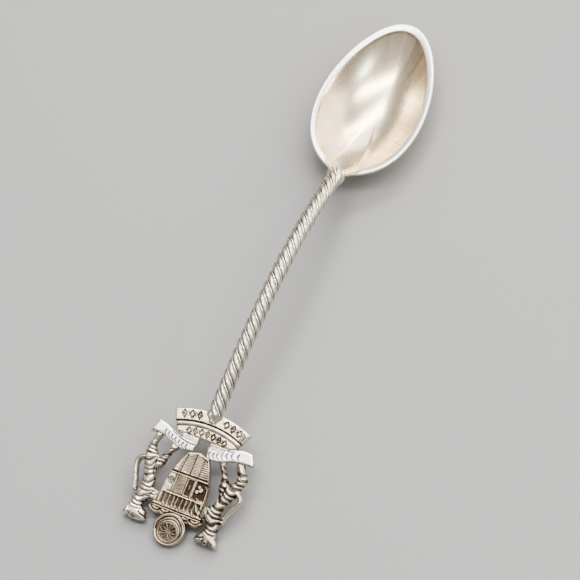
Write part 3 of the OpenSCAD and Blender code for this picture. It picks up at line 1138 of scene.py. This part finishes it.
@dataclass
class Ribbon(Plate):
    """Ribbon with a row of engraved curves and a hatched turned-back end.

    Args:
        side: 1 for the right, -1 for the left.
    """

    side: int = 1

    def work(self, relief: Relief) -> None:
        """Works the engraving of the ribbon, and the roll at its curled end with painted shade in the fold
        beside it.

        Args:
            relief: heights and tarnish of the plate.
        """
        if self.side < 0:
            middle = ((-7.6, 6.55), (-6.3, 6.75), (-5.3, 7.1), (-4.4, 7.45),
                      (-3.5, 7.75), (-2.7, 7.95), (-1.9, 8.05))
            relief.hatch(((-4.6, 6.0), (-1.2, 6.0), (-1.2, 7.1), (-4.2, 7.1)), 0, 0.3, 0.14, 0.55)
            relief.curve(((-6.4, 5.9), (-4.8, 6.2), (-3.0, 6.15), (-1.1, 6.1)), 0.16, -0.12, 0.6)
            relief.curve(((-11.1, 7.7), (-10.2, 7.35), (-8.9, 7.75)), 0.3, -0.5, 0.9)
            # curled end: a raised roll wiped clean, and a groove inside it darkened as painted shade of the
            # fold
            relief.stroke(((-11.5, 5.6), (-11.7, 8.4)), 0.95, 0.24, -0.6)
            relief.stroke(((-10.85, 5.4), (-11.05, 7.5)), 0.2, -0.28, 0.6)
        else:
            middle = ((3.1, 8.3), (3.95, 8.2), (4.8, 7.95), (5.65, 7.7),
                      (6.5, 7.4), (7.3, 7.15), (8.1, 6.95))
            relief.hatch(((1.5, 6.0), (5.4, 6.0), (5.0, 6.7), (1.5, 7.1)), 4, 0.3, 0.12, 0.5)
            relief.curve(((1.6, 7.35), (3.4, 7.3), (5.2, 6.85), (6.8, 6.2)), 0.18, -0.26, 0.8)
            relief.curve(((9.6, 7.6), (10.4, 7.25), (11.1, 7.6)), 0.26, -0.3, 0.7)
            # curled end: a raised roll wiped clean, and a groove inside it darkened as painted shade of the
            # fold
            relief.stroke(((11.5, 5.6), (11.7, 8.4)), 0.95, 0.24, -0.6)
            relief.stroke(((10.85, 5.4), (11.05, 7.5)), 0.2, -0.28, 0.6)
        for k, (u, v) in enumerate(middle):
            tall = 0.55 - 0.03 * (k % 3)
            cut = ((u - 0.22, v + tall), (u + 0.16, v + 0.15), (u + 0.02, v - tall))
            relief.curve(cut, 0.17, -0.18, 0.72)


@dataclass
class PlaqueTier(Plate):
    """Curved tier of the plaque with a row of engraved lozenges.

    Args:
        row: distance of the row from the plaque's outer edge.
        places: places of the lozenges, in degrees.
        tall: height of the lozenges.
        radius: radius of the plaque's outer edge.
    """

    row: float = 1.25
    places: tuple[float, ...] = ()
    tall: float = 1.3
    radius: float = 21.0

    def at(self, turn: float, depth: float) -> Point:
        """Finds a place on the curved plaque.

        Args:
            turn: its direction in degrees, 0 at the middle.
            depth: its distance from the outer edge.

        Returns:
            The place (u, v).
        """
        a = math.radians(turn)
        return (self.radius - depth) * math.sin(a), self.radius - (self.radius - depth) * math.cos(a)

    def work(self, relief: Relief) -> None:
        """Works the row of lozenges and the borders.

        Args:
            relief: heights and tarnish of the plate.
        """
        half = self.tall / 2
        for k, turn in enumerate(self.places):
            wide = 1.25 if k % 2 else 1.6
            corners = [self.at(turn, self.row - half), self.at(turn + wide, self.row)]
            corners += [self.at(turn, self.row + half), self.at(turn - wide, self.row)]
            relief.stroke((*corners, corners[0]), 0.24, -0.2, 0.72)
            if k % 2:
                relief.dot(self.at(turn, self.row), 0.16, -0.16, 0.8)
        for a, b in zip(self.places, self.places[1:]):
            relief.dot(self.at((a + b) / 2, self.row - 0.3), 0.1, -0.12, 0.6)
            relief.dot(self.at((a + b) / 2, self.row + 0.3), 0.1, -0.12, 0.6)


@dataclass
class BasePlaque(PlaqueTier):
    """Outer tier, with a groove along its inner edge and cuts at its left end."""

    def work(self, relief: Relief) -> None:
        """Works the row and the borders.

        Args:
            relief: heights and tarnish of the plate.
        """
        super().work(relief)
        relief.stroke(tuple(self.at(a, 2.52) for a in range(-23, 24)), 0.2, -0.3, 0.95)
        relief.stroke((self.at(-21.4, 0.9), self.at(-21.6, 2.5)), 0.16, -0.2, 0.7)
        relief.stroke((self.at(-20.3, 0.7), self.at(-20.3, 2.4)), 0.13, -0.16, 0.6)


@dataclass
class UpperPlaque(PlaqueTier):
    """Inner tier, with a raised border along its outer edge."""

    def work(self, relief: Relief) -> None:
        """Works the row and the borders.

        Args:
            relief: heights and tarnish of the plate.
        """
        super().work(relief)
        relief.stroke(tuple(self.at(a, 3.02) for a in range(-23, 24)), 0.45, 0.08, -0.9)
        relief.stroke(tuple(self.at(a, 3.55) for a in range(-23, 24)), 0.16, -0.2, 0.75)
        relief.stroke(((-4.5, 5.62), (4.5, 5.62)), 0.14, -0.1, 0.4)


# soft edges of the animals' parts in mm: of the stripes at the neck and the paws, of the plain
# front legs, and of the tail beside the back and, further out, beside the hips
NECK = (23.4, 22.8)
PAWS = (8.6, 9.4)
FRONT_LEGS = (5.6, 5.2)
TAIL_OUT, TAIL_UP = (9.3, 9.6), (15.3, 16.0)
TAIL_BEND_OUT, TAIL_BEND_UP = (10.0, 10.3), (12.4, 13.0)


@dataclass
class Tiger(Plate):
    """Striped animal that stands beside the shield.

    Args:
        side: 1 for the right, -1 for the left.
        spine: middle line of its body, as (u, v) from the head down.
        stripe_gap: distance between its stripes.
        stripe_dark: tarnish between its raised stripes.
        stripe_wide: width of the tarnish, from 0 to 1.
        body_wide: half the width of its body.
        bow: how much the stripes bend down at the sides.
        waver: how much they waver.
        slant: how much they lean outwards.
    """

    side: int = 1
    spine: Path = ()
    stripe_gap: float = 1.1
    stripe_dark: float = 0.5
    stripe_wide: float = 0.5
    body_wide: float = 1.25
    bow: float = 0.55
    waver: float = 0.26
    slant: float = 0.16

    def stripes(self, relief: Relief) -> None:
        """Carves the stripes across the body and the legs.

        Args:
            relief: heights and tarnish of the plate.
        """
        v_line = [p[1] for p in self.spine][::-1]
        middle = np.interp(relief.v, v_line, [p[0] for p in self.spine][::-1])
        off = (relief.u - middle) / self.body_wide
        lift = relief.v + self.bow * np.minimum(off * off, 1.4)
        lift = lift + self.waver * np.sin(relief.v * 1.7 + off) - self.slant * off * self.side
        wave = 0.5 + 0.5 * np.cos(2 * math.pi * lift / self.stripe_gap)
        body = smoothstep(*NECK, relief.v) * smoothstep(*PAWS, relief.v)
        out = np.abs(relief.u)
        tail = smoothstep(*TAIL_OUT, out) * smoothstep(*TAIL_UP, relief.v)
        bend = smoothstep(*TAIL_BEND_OUT, out) * smoothstep(*TAIL_BEND_UP, relief.v)
        tail = np.maximum(tail, bend)
        plain = np.maximum(smoothstep(*FRONT_LEGS, out), tail)
        crest = smoothstep(0.5, 0.85, wave) * body * (1 - plain)
        hollow = smoothstep(self.stripe_wide, self.stripe_wide * 0.3, wave) * body * (1 - plain)
        relief.apply(tail, 0.15, -0.9)
        relief.apply(crest, 0.07, -0.6)
        relief.apply(hollow, -0.1, self.stripe_dark)

    def head(self, relief: Relief) -> None:
        """Carves the eye, the ear, the cheek and the mouth.

        Args:
            relief: heights and tarnish of the plate.
        """
        s = self.side
        eye = (7.8 * s, 24.55)
        relief.dot((7.9 * s, 24.2), 0.95, 0.06, 0.25 if s > 0 else 0.6)
        relief.arc(eye, 0.34, (0, 360), 0.16, 0.18 if s < 0 else -0.16, 0.8 if s > 0 else -0.9)
        relief.dot(eye, 0.17, -0.16, 0.95)
        relief.curve(((9.9 * s, 24.9), (9.6 * s, 24.3), (9.0 * s, 23.9)), 0.3, 0.12, -0.9)
        relief.curve(((9.1 * s, 25.1), (8.9 * s, 24.6), (9.1 * s, 24.2)), 0.18, -0.2, 0.8)
        relief.curve(((5.4 * s, 24.5), (6.1 * s, 24.3), (6.8 * s, 24.1)), 0.34, 0.12, -0.9)
        relief.curve(((5.6 * s, 23.95), (6.4 * s, 23.85), (7.1 * s, 23.5)), 0.2, -0.26, 0.95)
        relief.curve(((5.7 * s, 22.9), (6.3 * s, 22.95), (6.9 * s, 22.7)), 0.26, 0.1, -0.9)
        relief.curve(((9.1 * s, 23.6), (9.1 * s, 23.0), (9.2 * s, 22.2)), 0.26, 0.08, -0.8)

    def limbs(self, relief: Relief) -> None:
        """Carves the joints of the legs, the paws and the tail.

        Args:
            relief: heights and tarnish of the plate.
        """
        s = self.side
        relief.curve(((7.1 * s, 15.6), (7.5 * s, 14.6), (7.6 * s, 13.4), (7.7 * s, 12.4)), 0.22, -0.25, 0.7)
        relief.curve(((6.9 * s, 20.2), (6.3 * s, 19.8), (6.0 * s, 18.8)), 0.22, -0.22, 0.75)
        relief.curve(((4.6 * s, 19.2), (5.3 * s, 18.5), (6.3 * s, 18.1)), 0.24, 0.1, -0.8)
        relief.curve(((10.3 * s, 14.8), (10.6 * s, 15.3), (10.2 * s, 16.2)), 0.16, -0.1, 0.25)
        for u, v in ((10.1, 10.4), (9.9, 11.7), (6.5, 11.5), (6.2, 12.6)):
            toe = (((u - 0.5) * s, v - 0.1), (u * s, v + 0.12), ((u + 0.5) * s, v - 0.1))
            relief.curve(toe, 0.18, -0.16, 0.6)

    def work(self, relief: Relief) -> None:
        """Carves the animal.

        Args:
            relief: heights and tarnish of the plate.
        """
        self.stripes(relief)
        self.head(relief)
        self.limbs(relief)


class Finial:
    """The pierced finial: plaque, ribbons, shield, ledges, animals and roundel."""

    def plates(self) -> list[Plate]:
        """Lists the plates of the finial.

        Returns:
            The plates, from the rope outwards.
        """
        low_row = (-17.6, -13.0, -8.4, 8.4, 13.0, 17.6)
        top_row = (-13.5, -9.0, -4.5, 0.0, 4.5, 9.0, 13.5)
        left = ((-7.9, 25.5), (-7.9, 23.0), (-7.4, 20.6), (-7.2, 18.4),
                (-7.6, 16.8), (-8.6, 14.9), (-9.2, 12.5), (-9.6, 9.0))
        right = ((8.3, 25.5), (8.3, 23.0), (7.9, 20.6), (7.6, 18.4),
                 (7.8, 16.6), (8.8, 14.9), (9.2, 12.5), (9.4, 9.0))
        return [
            BasePlaque("base_plaque", "plaque_silver", PLAQUE, places=low_row, row=1.28, tall=1.5),
            UpperPlaque("upper_plaque", "plaque_silver", PLAQUE, places=top_row, row=4.6, tall=1.4),
            Ribbon("ribbon_left", "ribbon_silver", RIBBON, side=-1),
            Ribbon("ribbon_right", "ribbon_silver", RIBBON, side=1),
            Shield("shield", "shield_silver", CAST, thick=1.6, detail=0.065, base_stain=0.1),
            Ledge("ledge_left", "shield_silver", CAST, thick=1.6, side=-1, base_stain=0.25),
            Ledge("ledge_right", "shield_silver", CAST, thick=1.6, side=1, base_stain=0.15),
            Tiger("tiger_left", "animal_silver", ANIMAL, thick=1.7, round_r=1.1, round_drop=0.85, side=-1,
                  spine=left, stripe_gap=1.12, stripe_dark=0.78, stripe_wide=0.7, base_stain=0.34),
            Tiger("tiger_right", "animal_silver", ANIMAL, thick=1.7, round_r=1.1, round_drop=0.85, side=1,
                  spine=right, stripe_gap=1.05, stripe_dark=0.72, stripe_wide=0.22, base_stain=0.0),
            RoundelRing("roundel_ring", "roundel_silver", CAST, thick=1.6, base_stain=0.05),
            RoundelDisc("roundel_disc", "roundel_silver", CAST, thick=1.6, base_stain=0.45),
        ]

    def finish(self) -> None:
        """Builds every plate."""
        for plate in self.plates():
            plate.make()


# ---- studio ----


@dataclass(frozen=True)
class Strip:
    """Long soft light that faces the floor.

    Args:
        name: name of the light.
        start: one end of its middle line, in metres.
        end: the other end.
        width: its width in metres.
        glow: its radiance.
        tint: its colour.
    """

    name: str
    start: tuple[float, float, float]
    end: tuple[float, float, float]
    width: float
    glow: float
    tint: tuple[float, float, float] = (1.0, 0.985, 0.96)

    def build(self) -> None:
        """Adds the light."""
        deselect()
        a, b = Vector(self.start), Vector(self.end)
        bpy.ops.object.light_add(type="AREA", location=(a + b) / 2)
        lamp = bpy.context.object
        lamp.name = self.name
        lamp.data.shape = "RECTANGLE"
        lamp.data.size, lamp.data.size_y = (b - a).length, self.width
        lamp.data.energy = self.glow * math.pi * lamp.data.size * self.width
        lamp.data.color = self.tint
        along = (b - a).normalized()
        facing = ((a + b) / 2).normalized()
        facing = (facing - facing.dot(along) * along).normalized()
        lamp.matrix_world = Matrix.Translation((a + b) / 2) @ Matrix(
            (along, facing.cross(along), facing)).transposed().to_4x4()


@dataclass(frozen=True)
class Studio:
    """Plain pale floor, soft lights and the camera.

    Args:
        eye: place of the camera in metres.
        target: place that it looks at.
        roll: its turn about its view, in radians.
        lens: its focal length over a 36 mm sensor, in mm.
    """

    eye: tuple[float, float, float] = (0.17834, -0.25311, 0.62354)
    target: tuple[float, float, float] = (-0.00013, -0.00093, 0.0)
    roll: float = 0.46
    lens: float = 213.1

    def floor(self) -> None:
        """Adds the floor."""
        deselect()
        bpy.ops.mesh.primitive_plane_add(size=2.4, location=(0, 0, -0.0002))
        ground = bpy.context.object
        ground.name = "floor"
        mat = bpy.data.materials.new("floor_paper")
        mat.use_nodes = True
        shader = mat.node_tree.nodes["Principled BSDF"]
        shader.inputs["Base Color"].default_value = (0.42, 0.42, 0.425, 1)
        shader.inputs["Roughness"].default_value = 0.7
        ground.data.materials.append(mat)

    def light(self) -> None:
        """Adds the lights and the surroundings."""
        world = bpy.data.worlds.new("studio")
        world.use_nodes = True
        tree = world.node_tree
        back = tree.nodes["Background"]
        back.inputs["Strength"].default_value = 0.6
        place = tree.nodes.new("ShaderNodeTexCoord")
        parts = tree.nodes.new("ShaderNodeSeparateXYZ")
        ramp = tree.nodes.new("ShaderNodeValToRGB")
        ramp.color_ramp.elements[0].position, ramp.color_ramp.elements[1].position = 0.0, 0.9
        ramp.color_ramp.elements[0].color = (0.26, 0.255, 0.25, 1)
        ramp.color_ramp.elements[1].color = (0.95, 0.94, 0.92, 1)
        tree.links.new(place.outputs["Generated"], parts.inputs["Vector"])
        tree.links.new(parts.outputs["Z"], ramp.inputs["Fac"])
        tree.links.new(ramp.outputs["Color"], back.inputs["Color"])
        bpy.context.scene.world = world
        bpy.context.scene.view_settings.look = "AgX - High Contrast"
        for box in (
            Strip("near_strip", (0.81, 0.29, 0.9), (-0.36, -0.09, 0.9), 0.15, 9.0),
            Strip("low_glow", (1.3, 0.5, 0.42), (-0.1, 1.4, 0.42), 0.7, 1.5, (1.0, 0.93, 0.82)),
            Strip("back_glow", (0.2, 1.95, 0.9), (-0.7, 1.05, 0.9), 0.5, 1.8, (1.0, 0.94, 0.84)),
            Strip("top_fill", (0.1, 0.62, 0.9), (-0.42, 0.12, 0.9), 0.16, 1.4),
            Strip("window", (0.9, -0.1, 0.66), (0.9, 0.02, 0.66), 0.16, 14.0, (0.82, 0.92, 1.0)),
            Strip("far_strip", (0.37, 1.3, 0.9), (-0.37, 0.36, 0.9), 0.15, 9.0),
        ):
            box.build()

    def camera(self) -> None:
        """Adds the camera."""
        deselect()
        bpy.ops.object.camera_add(location=self.eye)
        cam = bpy.context.object
        view = (Vector(self.target) - Vector(self.eye)).normalized()
        side = view.cross(Vector((0, 1, 0))).normalized()
        up = side.cross(view)
        right = math.cos(self.roll) * side + math.sin(self.roll) * up
        above = -math.sin(self.roll) * side + math.cos(self.roll) * up
        turn = Matrix((right, above, -view)).transposed().to_4x4()
        cam.matrix_world = Matrix.Translation(self.eye) @ turn
        cam.data.lens = self.lens
        cam.data.sensor_width = 36
        cam.data.clip_start, cam.data.clip_end = 0.01, 20
        bpy.context.scene.camera = cam

    def finish(self) -> None:
        """Builds the whole studio."""
        self.floor()
        self.light()
        self.camera()


def main() -> None:
    """Builds the spoon and the studio."""
    logging.basicConfig(level=logging.INFO, format="%(message)s")
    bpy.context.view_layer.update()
    Bowl().finish()
    RopeStem().finish()
    Finial().finish()
    Studio().finish()


if __name__ == "__main__":
    main()
